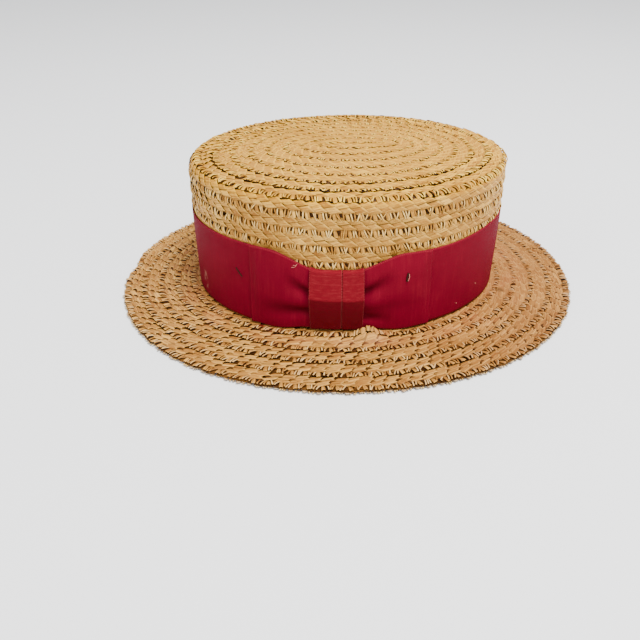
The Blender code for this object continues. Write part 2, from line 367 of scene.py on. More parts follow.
# %% [markdown]
# ## Laying the plait along its spiral
#
# Array and Curve modifiers could repeat the step along a spiral curve, but they keep every copy the same and
# stretch it on the tight turns. Here NumPy lays each copy straight on the hat's surface, and gives each straw
# its own small slip, lean, lift, width and tint. A slow wave makes the plait firm in one place and pressed
# flat in the next. All copies end up in one joined mesh. A straw's flat coordinates become its UV map, so
# that the grain in the material runs along every straw.

# %% Lay the copies of a step and join them
LOWEST = -1.25 * MM
KNOT_DIP = 13.0 * MM
START_JITTER = 0.3 * MM
SLIP = 0.24 * MM
LEAN = 0.07
LIFT = 0.10 * MM
WIDTH_SPREAD = 0.07
TINT_SPREAD = 0.30


def straw_mesh(name, points, quads, flat, shares, values, material):
    mesh = bpy.data.meshes.new(name)
    mesh.from_pydata(points.tolist(), [], quads.tolist())
    for map_name, places in (("straw", flat), ("share", shares)):
        uv_map = mesh.uv_layers.new(name=map_name)
        uv_map.data.foreach_set("uv", places[quads.ravel()].ravel())
    for value_name, numbers in values.items():
        mesh.attributes.new(value_name, "FLOAT", "POINT").data.foreach_set("value", numbers)
    mesh.materials.append(material)
    mesh.shade_smooth()
    print(name, "has", len(quads) * 2, "triangles")
    return add_object(name, mesh)


def tip_relief(distance, angle):
    """The tip was pressed flat, so its straws stand less proud towards the middle."""
    behind_bow = KNOT_DIP * bump(around(angle, math.radians(-98)), 0.0, math.radians(32))
    under_band = ease((distance - BAND_START - behind_bow + 3.0 * MM) / (5.0 * MM))
    return (0.30 + 0.70 * ease((distance - HALF_WIDTH * 0.5) / (HALF_WIDTH * 0.45))) * (1.0 - 0.8 * under_band)


def inside_relief(distance, angle):
    return 0.3 + 0.5 * ease((distance - HALF_WIDTH * 0.5) / (HALF_WIDTH * 0.5))


def brim_relief(distance, angle):
    """The brim was pressed flatter on the right, except for its outer row."""
    outer = ease((distance - BRIM_WIDTH + BRIM_PITCH * 1.4) / (BRIM_PITCH * 0.5))
    return 1.0 - 0.65 * bump(around(angle, math.radians(-8)), 0.0, math.radians(66)) * (1.0 - outer)


def lay_plait(name, step, rows, relief, outside, seed, material):
    random = np.random.default_rng(seed)
    count = int(rows["lengths"][-1] / step["spacing"])
    starts = (np.arange(count) + 0.5) * rows["lengths"][-1] / count + random.normal(0.0, START_JITTER, count)
    turn = np.interp(starts, rows["lengths"], rows["turns"])
    distance, angle = rows["edge"](turn) - rows["pitch"] / 2, rows["start"] + turn * 2 * math.pi
    waves = soft_waves(rows["place"](distance, angle, 0.0), 90.0, seed)
    firm = (relief(distance, angle) * np.clip(1.0 + 0.9 * waves, 0.45, 1.35))[:, None]

    owner, middles, split, shade_bed = step["owner"], step["middles"][:, 1], step["split"], step["shade_bed"]
    shape = (count, len(middles))
    slip = random.normal(0.0, SLIP, shape) * (1.0 + 0.6 * split - shade_bed)
    lean = random.normal(0.0, LEAN, shape) * (1.0 + 2.2 * split - shade_bed)
    lift = random.normal(0.0, LIFT, shape) * (1.0 + split - shade_bed)
    width = random.normal(1.0, WIDTH_SPREAD, shape) * (1.15 - 0.15 * firm)
    tint = 0.5 + 0.10 * split + random.normal(0.0, TINT_SPREAD, shape) * (np.clip(firm, 0.2, 1.0) + 0.5 * split)
    width = width * (1.0 - 0.60 * split * (1.0 - np.clip(firm, 0.0, 1.0)))
    firm = firm + (firm**0.4 - firm) * step["notch"]

    along, across, up = step["points"].T
    from_middle = (across - middles[owner]) * width[:, owner]
    across = middles[owner] + from_middle + slip[:, owner] / 2
    along = starts[:, None] + along + slip[:, owner] + lean[:, owner] * from_middle
    turn = np.interp(along, rows["lengths"], rows["turns"])
    shingle = ROW_STEP * np.minimum(across, 0.0) / rows["pitch"]
    proud = np.maximum((shingle + up + lift[:, owner] - 0.35 * MM) * firm[:, owner], LOWEST)
    points = rows["place"](rows["edge"](turn) + across, rows["start"] + turn * 2 * math.pi, proud)
    quads = (step["quads"] + np.arange(count)[:, None, None] * len(owner)).reshape(-1, 4)
    if outside:
        quads = quads[:, ::-1]
    flat = np.tile(step["flat"], (count, 1)) + random.uniform(0.0, 1.0, shape)[:, owner, None].reshape(-1, 1)
    shares = np.tile(step["shares"], (count, 1))
    values = {
        "tint": tint[:, owner].ravel(), "firm": firm[:, owner].ravel(),
        "split": np.tile(split[owner], count), "shade_bed": np.tile(shade_bed[owner], count),
        "notch": np.tile(step["notch"][owner], count),
    }
    return straw_mesh(name, points.reshape(-1, 3), quads, flat, shares, values, material)


# %% [markdown]
# ## Straw as a material
#
# Old straw is a golden tan with a satin shine. Fine lines run along each straw, and one straw is paler or
# redder than the next. An image could carry that, but a procedural material fits any view. Two effects are
# made once as node groups: the fibre lines, and the wear of years, which is broad blotches of grime.

# %% Helpers that add and join nodes
def add_node(tree, kind, **settings):
    """A new node. Settings name its inputs, with _ for a space, or its own properties."""
    node = tree.nodes.new(kind)
    for key, value in settings.items():
        name = key.replace("_", " ")
        socket = node.inputs.get(name) or node.inputs.get(name.title())
        if socket is None:
            setattr(node, key, value)
        elif isinstance(value, bpy.types.NodeSocket):
            tree.links.new(value, socket)
        else:
            socket.default_value = value
    return node


def math_node(tree, operation, first, second=0.0, third=None):
    node = add_node(tree, "ShaderNodeMath", operation=operation)
    for socket, value in zip(node.inputs, (first, second, third)):
        if isinstance(value, bpy.types.NodeSocket):
            tree.links.new(value, socket)
        elif value is not None:
            socket.default_value = value
    return node.outputs[0]


def times(tree, first, second):
    return math_node(tree, "MULTIPLY", first, second)


def ramp(tree, share, low, high, to_low=0.0, to_high=1.0):
    """Maps a value from one range to another, held at both ends."""
    node = add_node(tree, "ShaderNodeMapRange", interpolation_type="SMOOTHSTEP", Value=share)
    for name, value in (("From Min", low), ("From Max", high), ("To Min", to_low), ("To Max", to_high)):
        node.inputs[name].default_value = value
    return node.outputs["Result"]


def mix_colour(tree, share, first, second, blend="MIX"):
    node = add_node(tree, "ShaderNodeMix", data_type="RGBA", blend_type=blend)
    for socket, value in zip((node.inputs[0], node.inputs[6], node.inputs[7]), (share, first, second)):
        if isinstance(value, bpy.types.NodeSocket):
            tree.links.new(value, socket)
        elif isinstance(value, float):
            socket.default_value = value
        else:
            socket.default_value = (*value, 1.0)
    return node.outputs[2]


def lay_colours(tree, base, layers):
    """Mixes each layer's colour over the base by its share, with its own blend if it names one."""
    for share, colour, *blend in layers:
        base = mix_colour(tree, share, base, colour, *blend)
    return base


def attribute(tree, name):
    return add_node(tree, "ShaderNodeAttribute", attribute_name=name).outputs["Fac"]


def object_place(tree):
    return add_node(tree, "ShaderNodeTexCoord").outputs["Object"]


def new_material(name):
    material = bpy.data.materials.new(name)
    material.use_nodes = True
    return material, material.node_tree, material.node_tree.nodes["Principled BSDF"]


def stretched_noise(tree, coordinates, scale, detail=3.0, roughness=0.6):
    mapping = add_node(tree, "ShaderNodeMapping", Vector=coordinates, Scale=scale)
    node = add_node(
        tree, "ShaderNodeTexNoise", Vector=mapping.outputs[0], Scale=1.0, Detail=detail, Roughness=roughness
    )
    return node.outputs["Fac"]


def new_group(name, inputs, outputs):
    """A shader node group with its sockets, as (group, inner inputs, inner output node)."""
    group = bpy.data.node_groups.new(name, "ShaderNodeTree")
    for title, kind, value in inputs:
        socket = group.interface.new_socket(name=title, in_out="INPUT", socket_type=kind)
        socket.default_value = value
    for title, kind in outputs:
        group.interface.new_socket(name=title, in_out="OUTPUT", socket_type=kind)
    inner = group.nodes.new("NodeGroupInput")
    outer = group.nodes.new("NodeGroupOutput")
    return group, inner.outputs, outer.inputs


def place_group(tree, group, **values):
    node = tree.nodes.new("ShaderNodeGroup")
    node.node_tree = group
    for key, value in values.items():
        socket = node.inputs[key.replace("_", " ")]
        if isinstance(value, bpy.types.NodeSocket):
            tree.links.new(value, socket)
        else:
            socket.default_value = value
    return node.outputs


# %% Make the two shared effects
NUMBER, COLOUR, VECTOR = "NodeSocketFloat", "NodeSocketColor", "NodeSocketVector"


def fibre_group():
    """Fine lines along a straw, from its own flat coordinates."""
    group, ins, outs = new_group(
        "Straw fibre",
        [("Flat", VECTOR, (0, 0, 0)), ("Fineness", NUMBER, 1.0)],
        [("Lines", NUMBER), ("Patches", NUMBER)],
    )
    scaled = add_node(group, "ShaderNodeVectorMath", operation="SCALE")
    group.links.new(ins["Flat"], scaled.inputs[0])
    group.links.new(ins["Fineness"], scaled.inputs["Scale"])
    lines = stretched_noise(group, scaled.outputs[0], (90.0, 1700.0, 1.0), detail=4.0)
    patches = stretched_noise(group, scaled.outputs[0], (160.0, 420.0, 1.0), detail=2.0)
    group.links.new(lines, outs["Lines"])
    group.links.new(patches, outs["Patches"])
    return group


def wear_group():
    """Broad, uneven grime over the whole hat, and small dark specks."""
    group, ins, outs = new_group(
        "Years of wear", [("Size", NUMBER, 30.0)], [("Grime", NUMBER), ("Specks", NUMBER)]
    )
    place = object_place(group)
    broad = add_node(group, "ShaderNodeTexNoise", Vector=place, Scale=ins["Size"], Detail=4.0, Roughness=0.65)
    fine = add_node(group, "ShaderNodeTexNoise", Vector=place, Scale=900.0, Detail=2.0)
    group.links.new(ramp(group, broad.outputs["Fac"], 0.38, 0.68), outs["Grime"])
    group.links.new(ramp(group, fine.outputs["Fac"], 0.66, 0.74), outs["Specks"])
    return group


FIBRE = fibre_group()
WEAR = wear_group()


# %% Make the straw materials
STRAW_MID = (0.460, 0.226, 0.037)
STRAW_PALE = (0.820, 0.470, 0.095)
STRAW_RED = (0.305, 0.125, 0.021)
STRAW_DARK = (0.045, 0.016, 0.003)
STRAW_GLINT = (0.860, 0.580, 0.200)
HUMP_PALE = (0.620, 0.360, 0.080)
DYE = (0.400, 0.120, 0.045)
DYE_DARK = (0.110, 0.010, 0.006)
# The brim's tone is brown grime with painted shade, strongest on the right; the tip's tone is painted shade.
BRIM_GRIME_AND_SHADE = (0.58, 0.50, 0.63)
TIP_SHADE = (0.92, 0.87, 0.42)
DYE_SPOT = Vector((-61.6, -69.0, 3.0)) * MM
GRIME_SPOT = Vector((101.1, -38.7, 3.0)) * MM
HUMP_PALE_PLACE = Vector((0.5, -87.5, 7.0)) * MM


def distance_from_wall(tree):
    """How far a place lies outside the crown's wall, 0 to 1 at the brim's edge, its height, and the share of
    the brim's grime and painted shade for its side, full on the right."""
    place = object_place(tree)
    parts = add_node(tree, "ShaderNodeSeparateXYZ", Vector=place)
    across = math_node(tree, "DIVIDE", parts.outputs["X"], HALF_LENGTH)
    deep = math_node(tree, "DIVIDE", math_node(tree, "SUBTRACT", parts.outputs["Y"], SETBACK), HALF_WIDTH)
    radius = math_node(
        tree, "SQRT",
        math_node(tree, "ADD", math_node(tree, "POWER", across, 2.0), math_node(tree, "POWER", deep, 2.0)),
    )
    side_grime_and_shade = ramp(tree, parts.outputs["X"], -0.01, 0.10, 0.68, 1.0)
    return ramp(tree, radius, 1.0, 1.0 + BRIM_WIDTH / HALF_WIDTH), parts.outputs["Z"], side_grime_and_shade


def near_place(tree, spot, reach, squeeze=(1.0, 1.0, 1.0)):
    """1 at a place on the hat, falling to 0 at one reach from it."""
    place = object_place(tree)
    moved = add_node(tree, "ShaderNodeMapping", Vector=place, Location=-spot)
    squeezed = add_node(tree, "ShaderNodeMapping", Vector=moved.outputs[0], Scale=squeeze)
    length = add_node(tree, "ShaderNodeVectorMath", operation="LENGTH")
    tree.links.new(squeezed.outputs[0], length.inputs[0])
    return ramp(tree, length.outputs["Value"], reach, reach * 0.35)


def straw_share(tree):
    """Shares of the way along and across a straw, 0 to 1."""
    return add_node(
        tree, "ShaderNodeSeparateXYZ", Vector=add_node(tree, "ShaderNodeUVMap", uv_map="share").outputs[0]
    )


def rim_shade_and_grime(tree):
    """Painted shade, with some grime, where a straw comes out from under the next one, and along its two
    sides, less where it is flat."""
    share = straw_share(tree)
    firm = attribute(tree, "firm")
    split = attribute(tree, "split")
    notch = attribute(tree, "notch")
    end = ramp(tree, share.outputs["X"], 0.310, 0.245, 0.0, 0.97)
    end = times(tree, end, math_node(tree, "MULTIPLY_ADD", notch, -0.6, 1.0))
    side = math_node(tree, "ABSOLUTE", math_node(tree, "SUBTRACT", share.outputs["Y"], 0.5))
    side = times(tree, side, math_node(tree, "MULTIPLY_ADD", split, 0.30, 1.0))
    weight = math_node(tree, "MULTIPLY_ADD", split, 0.2, 0.75)
    rim = math_node(tree, "MAXIMUM", end, times(tree, ramp(tree, side, 0.35, 0.44), weight))
    strength = math_node(tree, "MAXIMUM", ramp(tree, firm, 0.30, 1.0, 0.05, 1.0), split)
    return times(tree, rim, strength)


# Painted highlight: the raised end of each straw is coloured paler.
def raised_end_highlight(tree):
    return ramp(tree, straw_share(tree).outputs["X"], 0.82, 0.93, 0.0, 0.6)


def aged_and_shaded_places(tree, base):
    """What the years did, and painted shade: a browned brim with painted shade, most on its right, painted
    shade that makes the tip darker and yellower, the ribbon's dye, a paler hump, and spots.
    """
    out, height, side_grime_and_shade = distance_from_wall(tree)
    stain = add_node(tree, "ShaderNodeTexNoise", Vector=object_place(tree), Scale=45.0, Detail=3.0)
    near = times(tree, ramp(tree, out, 0.55, 0.0), ramp(tree, height, 0.060, 0.045))
    return lay_colours(tree, base, [
        # brown grime on the brim, with painted shade that is strongest on its right side
        (times(tree, ramp(tree, height, 0.030, 0.012), side_grime_and_shade), BRIM_GRIME_AND_SHADE, "MULTIPLY"),
        # painted shade: the tip is coloured darker and yellower
        (ramp(tree, height, 0.083, 0.088), TIP_SHADE, "MULTIPLY"),
        (times(tree, near, ramp(tree, stain.outputs["Fac"], 0.35, 0.7, 0.03, 0.30)), DYE),
        # a paler patch on the hump
        (times(tree, near_place(tree, HUMP_PALE_PLACE, 8.0 * MM, (0.6, 1.0, 1.0)), 0.25), HUMP_PALE),
        (near_place(tree, DYE_SPOT, 2.6 * MM), DYE_DARK),
        (times(tree, near_place(tree, GRIME_SPOT, 4.0 * MM), 0.6), STRAW_DARK),
    ])


def straw_material(name, mid, pale, red, shine, dyed, fineness=1.0):
    material, tree, shader = new_material(name)
    flat = add_node(tree, "ShaderNodeUVMap", uv_map="straw").outputs[0]
    fibre = place_group(tree, FIBRE, Flat=flat, Fineness=fineness)
    wear = place_group(tree, WEAR, Size=26.0)
    tint = attribute(tree, "tint")
    glint = times(tree, attribute(tree, "split"), ramp(tree, tint, 0.3, 0.9, 0.0, 0.8))
    base = lay_colours(tree, mid, [
        (ramp(tree, tint, 0.45, 1.15), pale),
        (ramp(tree, tint, 0.42, -0.1), red),
        (ramp(tree, fibre["Lines"], 0.53, 0.38, 0.0, 0.8), red),
        (ramp(tree, fibre["Lines"], 0.52, 0.66, 0.0, 0.6), pale),
        (ramp(tree, fibre["Patches"], 0.55, 0.75, 0.0, 0.5), pale),
        # painted highlight on each straw's raised end
        (raised_end_highlight(tree), pale),
        (glint, STRAW_GLINT),
        # painted shade, with some grime, at each straw's covered end and sides
        (rim_shade_and_grime(tree), STRAW_DARK),
        # painted shade: the strip under the notched tier is coloured near black
        (attribute(tree, "shade_bed"), STRAW_DARK),
        (ramp(tree, wear["Grime"], 0.0, 1.0, 0.0, 0.30), STRAW_RED),
        (ramp(tree, wear["Specks"], 0.0, 1.0, 0.0, 0.45), STRAW_DARK),
    ])
    if dyed:
        base = aged_and_shaded_places(tree, base)
    tree.links.new(base, shader.inputs["Base Color"])
    tree.links.new(
        ramp(tree, fibre["Lines"], 0.3, 0.7, shine + 0.12, shine - 0.06), shader.inputs["Roughness"]
    )
    bumps = add_node(tree, "ShaderNodeBump", Height=fibre["Lines"], Strength=0.55, Distance=0.00035)
    tree.links.new(bumps.outputs["Normal"], shader.inputs["Normal"])
    shader.inputs["Specular IOR Level"].default_value = 0.07
    return material


plait_straw = straw_material("plaited straw", STRAW_MID, STRAW_PALE, STRAW_RED, 0.42, dyed=True)
brim_straw = straw_material("brim straw", STRAW_MID, STRAW_PALE, STRAW_RED, 0.42, dyed=True, fineness=0.6)
inside_straw = straw_material(
    "straw inside", (0.370, 0.255, 0.135), (0.540, 0.400, 0.240), (0.240, 0.145, 0.070), 0.55, dyed=False
)
# Painted shade: the core's straw is coloured near black, for the shade that shows through the holes.
core_straw = straw_material(
    "shaded straw", (0.045, 0.018, 0.004), (0.060, 0.026, 0.006), (0.030, 0.012, 0.003), 0.75, dyed=False
)

# %% [markdown]
# ## The straw core
#
# The loops leave small holes, and through them the next layer of straw shows, brown and in shade. It is a
# plain wall between the outer and the inner face, coloured near black as painted shade. One ring of edges is
# extruded from station to station along the hat's profile, and each extrusion is moved and scaled to the next
# oval by one matrix.


# %% Grow the core from ring to ring
CORE_SIDES = 144
SUNK = 1.35 * MM


def oval_matrix(offset, height):
    shift_x, shift_y = oval_shift(offset)
    size = Matrix.Diagonal((HALF_LENGTH + offset, HALF_WIDTH + offset, 1.0, 1.0))
    return Matrix.Translation((float(shift_x), float(shift_y), height)) @ size


def finish_mesh(bm, name, material):
    mesh = bpy.data.meshes.new(name)
    bm.to_mesh(mesh)
    bm.free()
    mesh.materials.append(material)
    return mesh


def grow_core(name, stations, closed):
    bm = bmesh.new()
    here = oval_matrix(*stations[0])
    bmesh.ops.create_circle(bm, cap_ends=not closed, segments=CORE_SIDES, radius=1.0, matrix=here)
    rim = list(bm.edges)
    for station in stations[1:] + (stations[:1] if closed else []):
        there = oval_matrix(*station)
        grown = bmesh.ops.extrude_edge_only(bm, edges=rim)["geom"]
        verts = [item for item in grown if isinstance(item, bmesh.types.BMVert)]
        rim = [item for item in grown if isinstance(item, bmesh.types.BMEdge) and item.is_boundary]
        bmesh.ops.transform(bm, matrix=there @ here.inverted(), verts=verts)
        here = there
    if closed:
        bmesh.ops.remove_doubles(bm, verts=bm.verts, dist=0.01 * MM)
    else:
        bmesh.ops.edgeloop_fill(bm, edges=rim)
    bmesh.ops.recalc_face_normals(bm, faces=bm.faces)
    if bm.calc_volume(signed=True) < 0:
        bmesh.ops.reverse_faces(bm, faces=bm.faces)
    mesh = finish_mesh(bm, name, core_straw)
    mesh.uv_layers.new(name="straw")
    mesh.shade_smooth()
    print(name, "has", len(mesh.polygons), "faces")
    return add_object(name, mesh)


def crown_stations():
    bend_stops = [TIP_FLAT + TIP_BEND * step / 8 for step in range(9)]
    outer = [ROW_PITCH / 3, TIP_FLAT / 3, TIP_FLAT * 2 / 3, *bend_stops, WALL_END - STRAW, WALL_END]
    inner = [crown_profile(stop, SUNK - STRAW) for stop in reversed(outer)]
    return [tuple(map(float, pair)) for pair in [crown_profile(stop, -SUNK) for stop in outer] + inner]


def brim_stations():
    low, high = 1.15 * MM, SUNK
    edge = BRIM_WIDTH - 1.4 * MM
    inner = -STRAW + SUNK
    return [(inner, low), (inner, high), (edge, high), (edge + 0.4 * MM, (low + high) / 2), (edge, low)]


crown_core = grow_core("crown_core", crown_stations(), closed=False)
brim_core = grow_core("brim_core", brim_stations(), closed=True)

# %% [markdown]
# ## Crown and brim
#
# The outer rows of the crown stop a little below the ribbon's upper edge, because nothing shows under it. The
# inside of the crown and the underside of the brim are the back of the same plait, so they are laid in the
# same way and face the other way.

# %% Lay the crown's and the brim's plait
crown_plait = lay_plait("crown_plait", side_step, crown_rows, tip_relief, True, 3, plait_straw)
brim_plait = lay_plait("brim_plait", brim_step, brim_rows, brim_relief, True, 5, brim_straw)
crown_inside = lay_plait("crown_inside", side_step, inside_rows, inside_relief, False, 8, inside_straw)
brim_underside = lay_plait("brim_underside", brim_step, under_rows, brim_relief, False, 11, inside_straw)
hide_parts("crown")
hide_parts("brim")
straw_pieces = [crown_core, brim_core, crown_plait, brim_plait, crown_inside, brim_underside]

# %% [markdown]
# ## The ribbon
#
# The band and the bow are one wide grosgrain ribbon, a cloth with ribs across it. Cloth simulation could lay
# it round the crown, but a ribbon that is sewn tight keeps the shape of what it lies on. So each length is a
# flat grid whose points are put in place by how far round the crown they are, how far they stand off its
# wall, and how high they are. Solidify then gives it thickness. The knot squeezes everything together, so the
# upper edge dips in the middle. Each point also gets a painted shade, which darkens the cloth in its creases
# and on the knot's lower half.

# %% Measure the way round the crown
BOW_SHIFT = -15.5 * MM
KNOT_WIDTH = 30.7 * MM
KNOT_DROP = 10.6 * MM
KNOT_RISE = 4.2 * MM
PINCH_REACH = 34.0 * MM
RIGHT_SAG = 2.0 * MM
RIBBON_WIDTH = BAND_TOP - BAND_BOTTOM
BAND_MIDDLE = 0.7 * MM
CLOTH = 0.4 * MM

wall_angles = np.radians(np.linspace(-270.0, 90.0, 2881))
wall_speed = np.hypot(HALF_LENGTH * np.sin(wall_angles), HALF_WIDTH * np.cos(wall_angles))
wall_lengths = np.concatenate(
    ([0.0], np.cumsum((wall_speed[1:] + wall_speed[:-1]) / 2 * np.diff(wall_angles)))
)
GIRTH = wall_lengths[-1]
wall_lengths -= GIRTH / 2
print("Way round the crown in mm:", round(GIRTH / MM, 1))


def on_wall(distance, stand_off, height):
    """Points this far round the crown from the bow's middle, this far off its wall, and this high."""
    turned = (distance + BOW_SHIFT + GIRTH / 2) % GIRTH - GIRTH / 2
    angle = np.interp(turned, wall_lengths, wall_angles)
    out_x, out_y = HALF_WIDTH * np.cos(angle), HALF_LENGTH * np.sin(angle)
    size = np.hypot(out_x, out_y)
    x = HALF_LENGTH * np.cos(angle) + out_x / size * stand_off
    y = HALF_WIDTH * np.sin(angle) + out_y / size * stand_off + SETBACK
    return np.stack(np.broadcast_arrays(x, y, height), axis=-1)


def ribbon_edges(distance):
    """Heights of the ribbon's lower and upper edge, drawn together by the knot."""
    pinch = 1.0 - ease((np.abs(distance) - KNOT_WIDTH / 4) / PINCH_REACH)
    sag = RIGHT_SAG * bump(distance, 62.0 * MM, 55.0 * MM)
    return BAND_BOTTOM + KNOT_RISE * pinch, BAND_TOP - KNOT_DROP * pinch - sag


# %% Cut a length of ribbon and put it in place
def ribbon_piece(name, columns, rows, length, place, material):
    bm = bmesh.new()
    bmesh.ops.create_grid(bm, x_segments=columns, y_segments=rows, size=0.5)
    shares = np.array([vert.co[:2] for vert in bm.verts]) + 0.5
    points, shades = place(shares[:, 0], shares[:, 1])
    uv_layer = bm.loops.layers.uv.new("weave")
    shade_layer = bm.verts.layers.float.new("shade")
    for vert, share, point, shade in zip(bm.verts, shares, points, shades):
        vert.co = point
        vert[shade_layer] = shade
        for corner in vert.link_loops:
            corner[uv_layer].uv = (share[0] * length, share[1] * RIBBON_WIDTH)
    mesh = finish_mesh(bm, name, material)
    mesh.shade_smooth()
    obj = add_object(name, mesh)
    thickness = obj.modifiers.new("Cloth thickness", "SOLIDIFY")
    thickness.thickness = CLOTH
    thickness.offset = 0.0
    print(name, "is a ribbon", round(length / MM, 1), "mm long")
    return obj


# %% [markdown]
# ## Grosgrain as a material
#
# The ribs of grosgrain run across the ribbon, a little over half a millimetre apart. They are too fine for
# the mesh, so a wave in the UV map drives a Bump node, and the grooves between them are coloured darker as
# painted shade. Old ribbon fades along the tops of its ribs, and the woven edges are a touch lighter. The ribs
# are a node group, because the band and the worn knot use them with other values.


# %% Make the ribbon materials
def rib_group():
    group, ins, outs = new_group(
        "Grosgrain ribs",
        [("Weave", VECTOR, (0, 0, 0)), ("Ribs per metre", NUMBER, 1500.0), ("Streaks", NUMBER, 1.0)],
        [("Height", NUMBER), ("Fade", NUMBER), ("Edge", NUMBER), ("Picots", NUMBER)],
    )
    parts = add_node(group, "ShaderNodeSeparateXYZ", Vector=ins["Weave"])
    turns = times(group, parts.outputs["X"], ins["Ribs per metre"])
    wave = math_node(group, "SINE", times(group, turns, 2 * math.pi))
    streaks = stretched_noise(group, ins["Weave"], (760.0, 45.0, 1.0), detail=4.0, roughness=0.7)
    blotches = stretched_noise(group, ins["Weave"], (38.0, 60.0, 1.0), detail=3.0)
    fade = times(group, ramp(group, streaks, 0.42, 0.72), ins["Streaks"])
    fade = math_node(group, "ADD", fade, ramp(group, blotches, 0.45, 0.8, 0.0, 0.35))
    up = math_node(group, "ABSOLUTE", math_node(group, "SUBTRACT", parts.outputs["Y"], RIBBON_WIDTH / 2))
    group.links.new(math_node(group, "MULTIPLY_ADD", wave, 0.5, 0.5), outs["Height"])
    group.links.new(fade, outs["Fade"])
    edge = ramp(group, up, RIBBON_WIDTH / 2 - 1.1 * MM, RIBBON_WIDTH / 2 - 0.5 * MM)
    bead = math_node(group, "SINE", times(group, parts.outputs["X"], 2 * math.pi / (1.25 * MM)))
    group.links.new(edge, outs["Edge"])
    group.links.new(times(group, edge, ramp(group, bead, 0.1, 0.6)), outs["Picots"])
    return group


RIBS = rib_group()
RED = (0.150, 0.0024, 0.0130)
RED_DEEP = (0.107, 0.0014, 0.0085)
RED_FADED = (0.215, 0.0085, 0.0200)
RED_WORN = (0.215, 0.0160, 0.0210)
RED_SHADE = (0.035, 0.0004, 0.0020)
PICOT = (0.480, 0.110, 0.095)
DUST = (0.330, 0.150, 0.110)


def ribbon_material(name, deep, mid, faded, rib_depth, streaks, scuffed=False):
    material, tree, shader = new_material(name)
    weave = add_node(tree, "ShaderNodeUVMap", uv_map="weave").outputs[0]
    ribs = place_group(tree, RIBS, Weave=weave, Streaks=streaks)
    wear = place_group(tree, WEAR, Size=22.0)
    shade = attribute(tree, "shade")
    light = math_node(tree, "SUBTRACT", 1.0, shade)
    base = lay_colours(tree, mid, [
        # painted shade: the grooves between the ribs are coloured darker
        (ramp(tree, ribs["Height"], 0.0, 1.0, 0.35, 0.0), deep),
        (times(tree, ramp(tree, ribs["Fade"], 0.0, 1.2, 0.0, 0.9), light), faded),
        (ramp(tree, wear["Grime"], 0.0, 1.0, 0.0, 0.35), deep),
        (times(tree, ribs["Edge"], 0.05), faded),
        # painted shade: darker cloth in the creases and on the knot's lower half
        (times(tree, shade, 0.8), RED_SHADE),
        (times(tree, ribs["Picots"], 0.08 if scuffed else 0.5), PICOT),
    ])
    if scuffed:
        base = mix_colour(tree, scuff_mask(tree), base, DUST)
    tree.links.new(base, shader.inputs["Base Color"])
    tree.links.new(ramp(tree, ribs["Fade"], 0.0, 1.3, 0.62, 0.78), shader.inputs["Roughness"])
    bumps = add_node(tree, "ShaderNodeBump", Height=ribs["Height"], Strength=rib_depth, Distance=0.00016)
    tree.links.new(bumps.outputs["Normal"], shader.inputs["Normal"])
    shader.inputs["Specular IOR Level"].default_value = 0.03
    return material


SCUFF_PLACE = Vector((-97.5, -27.0, 15.0)) * MM


def scuff_mask(tree):
    """A pale rubbed place low on the band's left side."""
    place = object_place(tree)
    spots = add_node(tree, "ShaderNodeTexNoise", Vector=place, Scale=300.0, Detail=3.0)
    near = near_place(tree, SCUFF_PLACE, 6.0 * MM, (1.0, 1.4, 0.55))
    return times(tree, near, ramp(tree, spots.outputs["Fac"], 0.42, 0.62, 0.0, 0.5))


band_cloth = ribbon_material("red grosgrain", RED_DEEP, RED, RED_FADED, 0.35, 0.6, scuffed=True)
knot_cloth = ribbon_material(
    "worn grosgrain", (0.115, 0.0026, 0.0078), (0.160, 0.0042, 0.0105), RED_WORN, 0.9, 1.0
)

# %% [markdown]
# ## The band
#
# The band goes once round the crown. Its cloth has slow, shallow waves, and it bellies out a little between
# its sewn edges.


# %% Lay the band round the crown
def place_band(along, up):
    distance = (along - 0.5) * GIRTH
    bottom, top = ribbon_edges(distance)
    height = bottom + (top - bottom) * up
    waves = soft_waves(on_wall(distance, 0.0, height), 28.0, 3.0)
    edge_waves = soft_waves(on_wall(distance, 0.0, np.zeros_like(height)), 60.0, 9.0)
    away_from_seam = ease((0.5 - np.abs(along - 0.5)) * 40)
    belly = 4 * up * (1 - up)
    stand_off = BAND_MIDDLE + away_from_seam * MM * (0.35 * belly * (waves + 0.4) + 0.12 * np.abs(edge_waves))
    behind_bow = bump(distance, 2.0 * MM, 62.0 * MM)
    height = height + 0.3 * MM * edge_waves * (1 - up) * away_from_seam - 1.2 * MM * behind_bow * up
    return on_wall(distance, stand_off, height), np.zeros_like(along)


band = ribbon_piece("band", 420, 36, GIRTH, place_band, band_cloth)
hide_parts("ribbon_band")

# %% [markdown]
# ## The bow's loops
#
# A loop runs out from the knot along the band, folds over, and comes back in front of itself. Seen from above
# that is a narrow hairpin, given below as a few places along it. They are joined by straight lines, and a
# moving average rounds the corners. Creases run out of the knot where it gathers the cloth.

# %% Shape the two loops
LEFT_REACH = 54.8 * MM
RIGHT_REACH = 58.8 * MM
FOLD_LEAN = 2.0 * MM
LOOP_DEPTH = 2.0 * MM
LOOP_BELLY = 1.6 * MM
LOOP_LIFT = 0.7 * MM
LOOP_TUCK = 6.0 * MM
LOOP_BACK = 1.3 * MM

# One row for each bend: share of the way out from the knot's edge to the fold, share of the loop's depth
LOOP_BENDS = (
    (0.00, 0.00), (0.40, 0.00), (0.80, 0.00), (0.93, 0.00), (0.985, 0.06), (1.00, 0.28), (0.985, 0.50),
    (0.91, 0.66), (0.76, 0.88), (0.58, 1.00), (0.40, 0.96), (0.22, 0.80), (0.10, 0.64), (0.00, 0.54),
)

